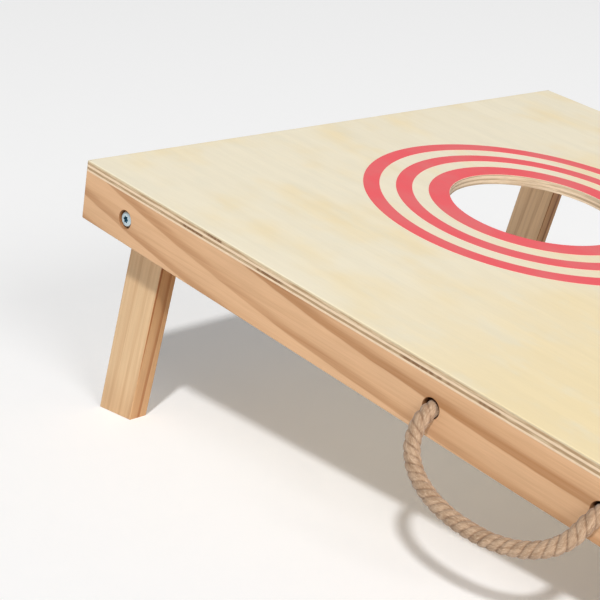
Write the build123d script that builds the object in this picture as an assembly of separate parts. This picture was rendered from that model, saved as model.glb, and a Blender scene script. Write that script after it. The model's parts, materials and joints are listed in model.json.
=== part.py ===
from build123d import *
import math
import os

# A cornhole board, 2 ft by 3 ft, standing ready to play on two folding legs.
#
# The board stands on Z = 0. Its low front edge is towards -Y, and its high back edge, with the
# bag hole and the legs, is towards +Y. X = 0 is its middle plane, and left is -X.
# The origin is the centre of the box round the standing board, on the ground.
#
# Every piece is drawn on the board lying flat: Y = 0 at the front edge, Y = BOARD_LENGTH at the
# back edge, Z = 0 at the underside of the rails. stand_up() then tilts it onto its legs.

# Board
BOARD_WIDTH = 609.6
BOARD_LENGTH = 914.4
DECK_THICKNESS = 9.0
RAIL_DEPTH = 41.6
RAIL_THICKNESS = 28.0
BRACE_THICKNESS = 19.0
SLOPE_DEG = 11.4
EDGE_ROUNDING = 1.0
CORNER_ROUNDING = 1.5
DECK_ROUNDING = 1.2

# Bag hole and the printed rings round it
BAG_HOLE_RADIUS = 76.2
BAG_HOLE_FROM_BACK = 228.6
RING_COUNT = 3
RING_OUTER_RADIUS = 151.0
RING_WIDTH = 14.0
RING_PITCH = 28.2
INK_THICKNESS = 0.15
INK_FROM_HOLE = 0.4

# Folding legs: flat bars that turn on a bolt through each side rail
LEG_WIDTH = 41.2
LEG_THICKNESS = 18.0
LEG_LEAN_DEG = 6.3
LEG_ROUNDING = 0.8
LEG_TO_DECK = 0.3
LEG_FROM_RAIL = 2.5
PIVOT_FROM_BACK = 56.0
PIVOT_RUNNING_GAP = 0.05
SIDE_PLAY = 0.1

# Pivot hardware, M6
BOLT_RADIUS = 3.0
BOLT_LENGTH = 55.0
BOLT_TIP_CHAMFER = 0.75
BOLT_HEAD_RADIUS = 6.4
BOLT_HEAD_HEIGHT = 4.0
BOLT_HEAD_ROUNDING = 2.0
BOLT_HEAD_RECESS = 0.7
SOCKET_RADIUS = 2.3
SOCKET_LOBE_RADIUS = 0.8
SOCKET_LOBES = 6
SOCKET_DEPTH = 2.4
COUNTERBORE_RADIUS = 7.7
HARDWARE_GAP = 0.05
WASHER_HOLE_RADIUS = 3.2
SPACER_RADIUS = 10.0
NUT_WASHER_RADIUS = 9.0
NUT_WASHER_THICKNESS = 1.6
NUT_SIDES = 6
NUT_ACROSS_FLATS = 10.0
NUT_HEX_HEIGHT = 4.6
NUT_COLLAR_RADIUS = 4.6
NUT_COLLAR_HEIGHT = 1.6
NUT_COLLAR_WALL = 0.6
NUT_CORNER_TAKEN = 0.9
NYLON_THICKNESS = 1.4

# Hidden joinery: dowels between the rails, and screws driven up into the deck
DOWEL_RADIUS = 4.0
DOWEL_LENGTH = 40.0
DOWEL_IN_SIDE_RAIL = 17.0
DOWEL_HEIGHTS = (11.0, 30.0)
DOWEL_CHAMFER = 0.8
GLUE_GAP = 0.05
GLUE_END_SPACE = 1.0
SCREW_RADIUS = 2.0
SCREW_LENGTH = 35.0
SCREW_POINT = 4.0
SCREW_HEAD_RADIUS = 4.0
SCREW_HEAD_HEIGHT = 2.6
SCREW_CROSS_SPAN = 4.6
SCREW_CROSS_WIDTH = 0.9
SCREW_CROSS_DEPTH = 1.6
SCREW_WELL_RADIUS = 4.5
SCREW_WELL_DEPTH = 12.0
SIDE_SCREW_SHARES = (0.13, 0.33, 0.67, 0.87)
CROSS_SCREW_OFFSET = 180.0

# Rope handles: each rope runs out of one hole in the rail, round a loop and into the other
ROPE_RADIUS = 5.75
ROPE_HOLE_RADIUS = 7.5
ROPE_HOLE_HEIGHT = 21.1
ROPE_HOLE_SPACING = 138.2
ROPE_FROM_RAIL = 0.5
LOOP_REACH = 51.0
LOOP_DROOP_DEG = 55.0
KNOT_RADIUS = 17.0
KNOT_LENGTH = 30.0
KNOT_ROUNDING = 12.0
KNOT_GAP = 0.3
ROPE_TAIL = 16.0

# Places worked out from the dimensions above
SLOPE = math.radians(SLOPE_DEG)
LEAN = math.radians(LEG_LEAN_DEG)
DECK_TOP = RAIL_DEPTH + DECK_THICKNESS
RAIL_OUTSIDE = -BOARD_WIDTH / 2
RAIL_INSIDE = RAIL_OUTSIDE + RAIL_THICKNESS
BAG_HOLE_Y = BOARD_LENGTH - BAG_HOLE_FROM_BACK
PIVOT_Y = BOARD_LENGTH - PIVOT_FROM_BACK
PIVOT_Z = RAIL_DEPTH - LEG_TO_DECK - LEG_WIDTH / 2
LEG_OUTSIDE = RAIL_INSIDE + LEG_FROM_RAIL
LEG_INSIDE = LEG_OUTSIDE + LEG_THICKNESS
NUT_WASHER_OUTSIDE = LEG_INSIDE + SIDE_PLAY
NUT_OUTSIDE = NUT_WASHER_OUTSIDE + NUT_WASHER_THICKNESS
BOLT_SEAT = RAIL_OUTSIDE + BOLT_HEAD_RECESS + BOLT_HEAD_HEIGHT
ROPE_HOLES_Y = [BOARD_LENGTH / 2 - ROPE_HOLE_SPACING / 2, BOARD_LENGTH / 2 + ROPE_HOLE_SPACING / 2]
CROSS_RAILS_Y = [RAIL_THICKNESS / 2, BOARD_LENGTH / 2, BOARD_LENGTH - RAIL_THICKNESS / 2]
# The rounded front edge of the tilted frame touches the ground a little above the tilt's axis.
FRONT_EDGE_LIFT = EDGE_ROUNDING * (math.sin(SLOPE) + math.cos(SLOPE) - 1)


def rod_x(x_low, x_high, y, z, radius):
    """A round rod lying along X."""
    return Pos((x_low + x_high) / 2, y, z) * Rot(0, 90, 0) * Cylinder(radius, x_high - x_low)


def rod_z(x, y, z_low, z_high, radius):
    """A round rod standing along Z."""
    return Pos(x, y, (z_low + z_high) / 2) * Cylinder(radius, z_high - z_low)


def bar_along_y(width, length, depth):
    """A bar lying along Y on Z = 0, with its two lower long edges rounded."""
    bar = Pos(0, 0, depth / 2) * Box(width, length, depth)
    lower_edges = bar.edges().filter_by(Axis.Y).group_by(Axis.Z)[0]
    return fillet(lower_edges, EDGE_ROUNDING)


def to_right(piece):
    """The right-hand twin of a left-hand piece."""
    return mirror(piece, about=Plane.YZ)


# Places of the fasteners

def screw_places():
    """(x, y) of each deck screw."""
    rail_middle = BOARD_WIDTH / 2 - RAIL_THICKNESS / 2
    side = [(x, share * BOARD_LENGTH) for x in (-rail_middle, rail_middle) for share in SIDE_SCREW_SHARES]
    cross = [(x, y) for x in (-CROSS_SCREW_OFFSET, 0, CROSS_SCREW_OFFSET) for y in CROSS_RAILS_Y]
    return side + cross


def left_dowel_places():
    """(y, z) of each dowel that enters the left side rail."""
    return [(y, z) for y in CROSS_RAILS_Y for z in DOWEL_HEIGHTS]


def dowel_wells():
    """The holes for every dowel, reaching a little past each end of it."""
    x_low = RAIL_INSIDE - DOWEL_IN_SIDE_RAIL
    wells = [
        rod_x(x_low - GLUE_END_SPACE, x_low + DOWEL_LENGTH + GLUE_END_SPACE, y, z, DOWEL_RADIUS + GLUE_GAP)
        for y, z in left_dowel_places()
    ]
    return wells + [to_right(well) for well in wells]


def screw_wells():
    """The stepped hole for every screw, from the underside of the rails up into the deck."""
    wells = []
    for x, y in screw_places():
        wells.append(rod_z(x, y, 0, SCREW_WELL_DEPTH, SCREW_WELL_RADIUS))
        top = SCREW_WELL_DEPTH + SCREW_LENGTH + GLUE_END_SPACE
        wells.append(rod_z(x, y, SCREW_WELL_DEPTH, top, SCREW_RADIUS + GLUE_GAP))
    return wells


# Deck

def deck_panel():
    """The plywood top, with the bag hole."""
    centre_z = RAIL_DEPTH + DECK_THICKNESS / 2
    panel = Pos(0, BOARD_LENGTH / 2, centre_z) * Box(BOARD_WIDTH, BOARD_LENGTH, DECK_THICKNESS)
    corners = panel.edges().filter_by(Axis.Z)
    panel = fillet(corners, CORNER_ROUNDING)
    panel = fillet(panel.faces().sort_by(Axis.Z)[-1].edges(), DECK_ROUNDING)
    panel -= rod_z(0, BAG_HOLE_Y, RAIL_DEPTH, DECK_TOP, BAG_HOLE_RADIUS)
    return panel - screw_wells()


def target_rings():
    """The printed rings, as films of ink. The innermost one runs in to the edge of the bag hole."""
    rings = []
    for index in range(RING_COUNT):
        outer = RING_OUTER_RADIUS - index * RING_PITCH
        innermost = index == RING_COUNT - 1
        inner = BAG_HOLE_RADIUS + INK_FROM_HOLE if innermost else outer - RING_WIDTH
        film_top = DECK_TOP + INK_THICKNESS
        ring = rod_z(0, BAG_HOLE_Y, DECK_TOP, film_top, outer)
        rings.append(ring - rod_z(0, BAG_HOLE_Y, DECK_TOP, film_top, inner))
    return rings


# Frame under the deck

def left_rail():
    """The left side rail, with its bolt hole, rope holes, and the wells for dowels and screws."""
    rail = bar_along_y(RAIL_THICKNESS, BOARD_LENGTH, RAIL_DEPTH)
    rail = Pos(RAIL_OUTSIDE + RAIL_THICKNESS / 2, BOARD_LENGTH / 2, 0) * rail
    outer_corners = rail.edges().filter_by(Axis.Z).group_by(Axis.X)[0]
    rail = fillet(outer_corners, CORNER_ROUNDING)
    rail -= rod_x(RAIL_OUTSIDE, BOLT_SEAT, PIVOT_Y, PIVOT_Z, COUNTERBORE_RADIUS)
    rail -= rod_x(BOLT_SEAT, RAIL_INSIDE, PIVOT_Y, PIVOT_Z, BOLT_RADIUS + HARDWARE_GAP)
    for y in ROPE_HOLES_Y:
        rail -= rod_x(RAIL_OUTSIDE, RAIL_INSIDE, y, ROPE_HOLE_HEIGHT, ROPE_HOLE_RADIUS)
    return rail - (dowel_wells() + screw_wells())


def cross_rail(y, thickness):
    """A rail between the side rails, centred at y."""
    rail = bar_along_y(thickness, BOARD_WIDTH - 2 * RAIL_THICKNESS, RAIL_DEPTH)
    return Pos(0, y, 0) * Rot(0, 0, 90) * rail - (dowel_wells() + screw_wells())


def frame_dowels():
    """The wooden dowels that hold the three cross rails to the side rails."""
    dowel = Cylinder(DOWEL_RADIUS, DOWEL_LENGTH)
    dowel = Rot(0, 90, 0) * chamfer(dowel.edges().filter_by(GeomType.CIRCLE), DOWEL_CHAMFER)
    centre_x = RAIL_INSIDE - DOWEL_IN_SIDE_RAIL + DOWEL_LENGTH / 2
    left = [Pos(centre_x, y, z) * dowel for y, z in left_dowel_places()]
    return left + [to_right(dowel) for dowel in left]


def deck_screws():
    """The wood screws that hold the deck down: cross-slotted, and driven upwards from their wells."""
    outline = Polyline(
        (0, -SCREW_HEAD_HEIGHT),
        (SCREW_HEAD_RADIUS, -SCREW_HEAD_HEIGHT),
        (SCREW_HEAD_RADIUS, 0),
        (SCREW_RADIUS, 0),
        (SCREW_RADIUS, SCREW_LENGTH - SCREW_POINT),
        (0, SCREW_LENGTH),
        close=True,
    )
    screw = revolve(Plane.XZ * make_face(outline), Axis.Z)
    slot = Box(SCREW_CROSS_SPAN, SCREW_CROSS_WIDTH, SCREW_CROSS_DEPTH)
    cross = Pos(0, 0, SCREW_CROSS_DEPTH / 2 - SCREW_HEAD_HEIGHT) * (slot + Rot(0, 0, 90) * slot)
    screw -= cross
    return [Pos(x, y, SCREW_WELL_DEPTH) * screw for x, y in screw_places()]


# Legs and their pivots

def drop_to_ground(towards_back):
    """How far below the pivot, along the leg, the ground is, at this distance across the leg."""
    y = PIVOT_Y + towards_back * math.cos(LEAN)
    z = PIVOT_Z + towards_back * math.sin(LEAN)
    height = y * math.sin(SLOPE) + z * math.cos(SLOPE) - FRONT_EDGE_LIFT
    return height / math.cos(SLOPE + LEAN)


def leg_point(towards_back, up):
    """(y, z) of a point given in the leg's own directions, across it and along it, from the pivot."""
    y = PIVOT_Y + towards_back * math.cos(LEAN) - up * math.sin(LEAN)
    z = PIVOT_Z + towards_back * math.sin(LEAN) + up * math.cos(LEAN)
    return y, z


def left_leg():
    """The left leg, folded out. Its foot is cut to lie flat on the ground.

    Its top is rounded about the pivot towards the front, so that it can fold that way, and left
    square towards the back, where it meets the deck and stops the leg."""
    half = LEG_WIDTH / 2
    square_top = (half - half * math.sin(LEAN)) / math.cos(LEAN)
    front_of_arc = leg_point(-half, 0)
    top_of_arc = (PIVOT_Y, PIVOT_Z + half)
    sides = Polyline(
        top_of_arc,
        leg_point(half, square_top),
        leg_point(half, -drop_to_ground(half)),
        leg_point(-half, -drop_to_ground(-half)),
        front_of_arc,
    )
    rounded_top = RadiusArc(front_of_arc, top_of_arc, half)
    leg = Pos(LEG_OUTSIDE, 0, 0) * extrude(Plane.YZ * make_face(sides + rounded_top), LEG_THICKNESS)
    broad_faces = leg.faces().filter_by(Plane.YZ)
    leg = fillet(broad_faces.edges(), LEG_ROUNDING)
    return leg - rod_x(LEG_OUTSIDE, LEG_INSIDE, PIVOT_Y, PIVOT_Z, BOLT_RADIUS + PIVOT_RUNNING_GAP)


def left_pivot_bolt():
    """The bolt that the left leg turns on: a round head with a six-lobed socket, sunk in the rail."""
    head_top = RAIL_OUTSIDE + BOLT_HEAD_RECESS
    head = rod_x(head_top, BOLT_SEAT, PIVOT_Y, PIVOT_Z, BOLT_HEAD_RADIUS)
    rim = head.edges().filter_by(GeomType.CIRCLE).sort_by(Axis.X)[0]
    head = fillet(rim, BOLT_HEAD_ROUNDING)
    socket = rod_x(head_top, head_top + SOCKET_DEPTH, PIVOT_Y, PIVOT_Z, SOCKET_RADIUS)
    for index in range(SOCKET_LOBES):
        turn = 2 * math.pi * index / SOCKET_LOBES
        y = PIVOT_Y + SOCKET_RADIUS * math.cos(turn)
        z = PIVOT_Z + SOCKET_RADIUS * math.sin(turn)
        socket += rod_x(head_top, head_top + SOCKET_DEPTH, y, z, SOCKET_LOBE_RADIUS)
    shank = rod_x(BOLT_SEAT, BOLT_SEAT + BOLT_LENGTH, PIVOT_Y, PIVOT_Z, BOLT_RADIUS)
    tip = shank.edges().filter_by(GeomType.CIRCLE).sort_by(Axis.X)[-1]
    return head - socket + chamfer(tip, BOLT_TIP_CHAMFER)


def washer(x_low, x_high, radius):
    """A flat ring on the left pivot bolt."""
    ring = rod_x(x_low, x_high, PIVOT_Y, PIVOT_Z, radius)
    return ring - rod_x(x_low, x_high, PIVOT_Y, PIVOT_Z, WASHER_HOLE_RADIUS)


def turned_onto_bolt(piece):
    """A piece of the nut, drawn standing on Z = 0, in its place on the left pivot bolt."""
    return Pos(NUT_OUTSIDE, PIVOT_Y, PIVOT_Z) * Rot(0, 90, 0) * piece


def left_lock_nut():
    """The nut on the left pivot bolt: a hexagon with a round collar that holds its nylon insert."""
    flats = RegularPolygon(NUT_ACROSS_FLATS / 2, NUT_SIDES, major_radius=False)
    hexagon = extrude(flats, NUT_HEX_HEIGHT)
    corner_radius = NUT_ACROSS_FLATS / 2 / math.cos(math.pi / NUT_SIDES)
    rounded_off = Pos(0, 0, NUT_HEX_HEIGHT / 2) * Cylinder(corner_radius, NUT_HEX_HEIGHT)
    corner_chamfer = (corner_radius - NUT_ACROSS_FLATS / 2) * NUT_CORNER_TAKEN
    hexagon &= chamfer(rounded_off.edges().filter_by(GeomType.CIRCLE), corner_chamfer)
    nut_height = NUT_HEX_HEIGHT + NUT_COLLAR_HEIGHT
    collar = rod_z(0, 0, 0, nut_height, NUT_COLLAR_RADIUS)
    collar = fillet(collar.edges().filter_by(GeomType.CIRCLE).sort_by(Axis.Z)[-1], NUT_COLLAR_WALL / 2)
    nut = hexagon + collar - rod_z(0, 0, 0, nut_height, BOLT_RADIUS + HARDWARE_GAP)
    insert_space = rod_z(0, 0, nut_height - NYLON_THICKNESS, nut_height, NUT_COLLAR_RADIUS - NUT_COLLAR_WALL)
    return turned_onto_bolt(nut - insert_space)


def left_nut_insert():
    """The nylon ring in the nut's collar, which grips the bolt's thread."""
    top = NUT_HEX_HEIGHT + NUT_COLLAR_HEIGHT
    bottom = top - NYLON_THICKNESS
    ring = rod_z(0, 0, bottom, top, NUT_COLLAR_RADIUS - NUT_COLLAR_WALL)
    return turned_onto_bolt(ring - rod_z(0, 0, bottom, top, BOLT_RADIUS + HARDWARE_GAP))


# Rope handles

def left_rope_loop():
    """The part of the left rope outside the rail: half an ellipse that hangs outwards and down.

    It swings about the line through the mouths of its two holes, and ends in balls on that line."""
    hinge_x = RAIL_OUTSIDE - ROPE_FROM_RAIL - ROPE_RADIUS
    path = EllipticalCenterArc((0, 0), LOOP_REACH, ROPE_HOLE_SPACING / 2, -90, arc_size=180)
    start = path.position_at(0)
    section = Plane(origin=start, z_dir=path.tangent_at(0)) * Circle(ROPE_RADIUS)
    rope = sweep(section, path=path)
    for end in (0, 1):
        rope += Pos(*path.position_at(end)) * Sphere(ROPE_RADIUS)
    # The loop is drawn reaching towards +X. It is turned to reach towards -X, and then down.
    return Pos(hinge_x, BOARD_LENGTH / 2, ROPE_HOLE_HEIGHT) * Rot(0, 180 - LOOP_DROOP_DEG, 0) * rope


def left_rope_knots():
    """The two ends of the left rope: through the rail, a stopper knot against it, and a short tail."""
    knot_start = RAIL_INSIDE + KNOT_GAP
    knots = []
    for y in ROPE_HOLES_Y:
        rope = rod_x(RAIL_OUTSIDE, knot_start + KNOT_LENGTH + ROPE_TAIL, y, ROPE_HOLE_HEIGHT, ROPE_RADIUS)
        knot = rod_x(knot_start, knot_start + KNOT_LENGTH, y, ROPE_HOLE_HEIGHT, KNOT_RADIUS)
        knots.append(rope + fillet(knot.edges().filter_by(GeomType.CIRCLE), KNOT_ROUNDING))
    return knots


# Assembly

def left_hand_pieces():
    """Every piece on the left side that has a twin on the right, by name."""
    return {
        "rail": left_rail(),
        "leg": left_leg(),
        "pivot_bolt": left_pivot_bolt(),
        "spacer_washer": washer(RAIL_INSIDE, LEG_OUTSIDE - SIDE_PLAY, SPACER_RADIUS),
        "nut_washer": washer(NUT_WASHER_OUTSIDE, NUT_OUTSIDE, NUT_WASHER_RADIUS),
        "lock_nut": left_lock_nut(),
        "nut_insert": left_nut_insert(),
        "rope_loop": left_rope_loop(),
        "rope_knots": left_rope_knots(),
    }


def all_pieces():
    """Every node of the board lying flat: its name and its list of solids."""
    front_y, middle_y, back_y = CROSS_RAILS_Y
    pieces = {
        "deck_panel": deck_panel(),
        "target_rings": target_rings(),
        "front_rail": cross_rail(front_y, RAIL_THICKNESS),
        "centre_brace": cross_rail(middle_y, BRACE_THICKNESS),
        "back_rail": cross_rail(back_y, RAIL_THICKNESS),
        "frame_dowels": frame_dowels(),
        "deck_screws": deck_screws(),
    }
    for name, piece in left_hand_pieces().items():
        solids = piece if isinstance(piece, list) else [piece]
        pieces["left_" + name] = solids
        pieces["right_" + name] = [to_right(solid) for solid in solids]
    return {name: piece if isinstance(piece, list) else [piece] for name, piece in pieces.items()}


def stand_up(pieces):
    """Tilts the board up onto its legs, and centres it over the origin."""
    tilt = Pos(0, 0, -FRONT_EDGE_LIFT) * Rot(SLOPE_DEG, 0, 0)
    tilted = {name: Compound([tilt * solid for solid in solids]) for name, solids in pieces.items()}
    box = Compound(list(tilted.values())).bounding_box()
    centre = Pos(0, -(box.min.Y + box.max.Y) / 2, 0)
    return {name: centre * piece for name, piece in tilted.items()}


os.makedirs("parts", exist_ok=True)
for name, piece in stand_up(all_pieces()).items():
    export_step(piece, f"parts/{name}.step")
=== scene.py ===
import json
import math

import bpy
import numpy as np
from mathutils import Matrix, Vector
from mathutils.geometry import tessellate_polygon


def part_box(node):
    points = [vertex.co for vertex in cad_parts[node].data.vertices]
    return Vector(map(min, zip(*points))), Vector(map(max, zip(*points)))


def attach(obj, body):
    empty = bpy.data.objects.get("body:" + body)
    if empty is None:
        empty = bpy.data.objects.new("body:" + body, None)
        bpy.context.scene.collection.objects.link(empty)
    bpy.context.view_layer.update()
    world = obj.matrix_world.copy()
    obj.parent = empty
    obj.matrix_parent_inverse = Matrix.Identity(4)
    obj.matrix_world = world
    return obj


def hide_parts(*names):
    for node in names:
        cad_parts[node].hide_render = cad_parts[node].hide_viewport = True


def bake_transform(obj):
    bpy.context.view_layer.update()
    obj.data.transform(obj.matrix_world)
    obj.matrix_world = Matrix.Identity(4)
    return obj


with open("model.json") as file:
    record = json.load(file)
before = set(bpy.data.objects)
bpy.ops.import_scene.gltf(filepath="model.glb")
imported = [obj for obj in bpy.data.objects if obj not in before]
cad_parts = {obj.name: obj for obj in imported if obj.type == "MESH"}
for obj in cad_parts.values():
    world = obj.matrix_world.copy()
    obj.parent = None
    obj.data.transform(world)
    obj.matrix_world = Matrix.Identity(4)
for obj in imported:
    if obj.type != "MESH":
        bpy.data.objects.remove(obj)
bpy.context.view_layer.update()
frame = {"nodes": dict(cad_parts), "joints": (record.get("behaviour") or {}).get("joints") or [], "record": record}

MM = 0.001
SEED = 7


# Where things are, read from the frame

mounts = {mount["name"]: mount for mount in frame["record"]["mounts"]}
joints = {joint["name"]: joint for joint in frame["joints"]}
NODES = frame["nodes"]

ACROSS = Vector((1, 0, 0))
ALONG = Vector(joints["left_handle_swing"]["axis"]).normalized()
NORMAL = Vector(mounts["bag_hole"]["axis"]).normalized()


def span(node, direction):
    """Lowest and highest point of a CAD node along a direction, in metres."""
    reach = [vertex.co.dot(direction) for vertex in NODES[node].data.vertices]
    return min(reach), max(reach)


def board_point(across, along, normal):
    """A point given by its distances along the board's own directions, in metres."""
    return ACROSS * across + ALONG * along + NORMAL * normal


DECK_LEFT, DECK_RIGHT = span("deck_panel", ACROSS)
DECK_FRONT, DECK_BACK = span("deck_panel", ALONG)
DECK_BOTTOM, DECK_TOP = span("deck_panel", NORMAL)
DECK_MIDDLE = (DECK_FRONT + DECK_BACK) / 2
RAIL_INSIDE = span("left_rail", ACROSS)[1]
RAIL_THICKNESS = RAIL_INSIDE - DECK_LEFT
HOLE_CENTRE = Vector(mounts["bag_hole"]["pos_m"])
HOLE_ALONG = HOLE_CENTRE.dot(ALONG)
HOLE_RADIUS = mounts["bag_hole"]["dims"]["r_mm"] * MM
ROPE_HINGE = Vector(joints["left_handle_swing"]["pos_m"])
ROPE_HOLE_NORMAL = ROPE_HINGE.dot(NORMAL)
ROPE_RADIUS = 5.75 * MM
ROPE_HOLE_RADIUS = 7.5 * MM
COUNTERBORE_GAP = 1.3 * MM
HINGE_OUT = DECK_LEFT - ROPE_HINGE.dot(ACROSS)
CORNER = board_point(DECK_LEFT, DECK_BACK, DECK_TOP)


# Node trees

class Tree:
    """Builds one material's nodes. Any input may be a plain value or another node's output."""

    def __init__(self, name):
        self.material = bpy.data.materials.new(name)
        self.material.use_nodes = True
        self.nodes = self.material.node_tree.nodes
        self.links = self.material.node_tree.links
        self.nodes.clear()

    def add(self, kind, inputs=None, **settings):
        node = self.nodes.new("ShaderNode" + kind)
        for key, value in settings.items():
            setattr(node, key, value)
        for key, value in (inputs or {}).items():
            self.set(node.inputs[key], value)
        return node

    def set(self, socket, value):
        if isinstance(value, bpy.types.NodeSocket):
            self.links.new(value, socket)
        elif isinstance(value, (tuple, list)) and socket.type == "RGBA" and len(value) == 3:
            socket.default_value = (*value, 1)
        else:
            socket.default_value = value

    def math(self, operation, a, b=0.0, c=0.0, clamp=False):
        node = self.add("Math", {0: a, 1: b, 2: c}, operation=operation, use_clamp=clamp)
        return node.outputs[0]

    def vector(self, operation, a, b=(0, 0, 0)):
        node = self.add("VectorMath", {0: a, 1: b}, operation=operation)
        return node.outputs["Value" if operation in ("DOT_PRODUCT", "LENGTH") else "Vector"]

    def combine(self, x, y, z):
        return self.add("CombineXYZ", {0: x, 1: y, 2: z}).outputs[0]

    def stretch(self, vector, scale):
        return self.vector("MULTIPLY", vector, scale)

    def noise(self, vector, scale=1.0, detail=2.0, roughness=0.5):
        """Noise about 0.5, from 0 to 1."""
        inputs = {"Vector": vector, "Scale": scale, "Detail": detail, "Roughness": roughness}
        return self.add("TexNoise", inputs).outputs[0]

    def level(self, value, low, high, to_low=0.0, to_high=1.0, smooth=True):
        """Maps low..high to to_low..to_high, held at both ends."""
        inputs = {"Value": value, "From Min": low, "From Max": high, "To Min": to_low, "To Max": to_high}
        kind = "SMOOTHSTEP" if smooth else "LINEAR"
        return self.add("MapRange", inputs, interpolation_type=kind).outputs[0]

    def ramp(self, value, stops):
        """A grey value from a curve given as (place, value) stops."""
        node = self.add("ValToRGB", {0: value})
        elements = node.color_ramp.elements
        elements.remove(elements[0])
        for index, (place, grey) in enumerate(stops):
            element = elements[0] if index == 0 else elements.new(place)
            element.position = place
            element.color = (grey, grey, grey, 1)
        return node.outputs[0]

    def mix(self, share, a, b, blend="MIX"):
        """Mixes two colours."""
        node = self.add("Mix", {0: share, 6: a, 7: b}, data_type="RGBA", blend_type=blend)
        return node.outputs[2]

    def brightness(self, colour, factor):
        """The colour multiplied by a grey factor."""
        return self.vector("MULTIPLY", colour, self.combine(factor, factor, factor))

    def local(self, origin, x_axis, y_axis, z_axis):
        """Object coordinates along three chosen directions from an origin, in millimetres."""
        point = self.vector("SUBTRACT", self.add("TexCoord").outputs["Object"], tuple(origin))
        axes = [tuple(axis / MM) for axis in (x_axis, y_axis, z_axis)]
        return self.combine(*[self.vector("DOT_PRODUCT", point, axis) for axis in axes])

    def facing(self, axis):
        """How squarely the surface faces along an axis, either way: 0 to 1."""
        normal = self.add("NewGeometry").outputs["True Normal"]
        turned = self.add("VectorTransform", {0: normal}, vector_type="NORMAL", convert_from="WORLD",
                          convert_to="OBJECT").outputs[0]
        return self.math("ABSOLUTE", self.vector("DOT_PRODUCT", turned, tuple(axis)))

    def bump(self, height, distance, strength=1.0, under=None):
        inputs = {"Height": height, "Distance": distance, "Strength": strength}
        if under is not None:
            inputs["Normal"] = under
        return self.add("Bump", inputs).outputs[0]

    def finish(self, **inputs):
        shader = self.add("BsdfPrincipled", {key.replace("_", " "): value for key, value in inputs.items()})
        output = self.add("OutputMaterial")
        self.links.new(shader.outputs[0], output.inputs[0])
        return self.material


def paint(obj, material):
    """Gives an object one material."""
    obj.data.materials.clear()
    obj.data.materials.append(material)


def linear(red, green, blue):
    """A colour given in 0 to 255 as it looks on a screen, as the linear values that Blender uses."""
    shares = [value / 255 for value in (red, green, blue)]
    return tuple(s / 12.92 if s <= 0.04045 else ((s + 0.055) / 1.055) ** 2.4 for s in shares)


# Wood

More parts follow.
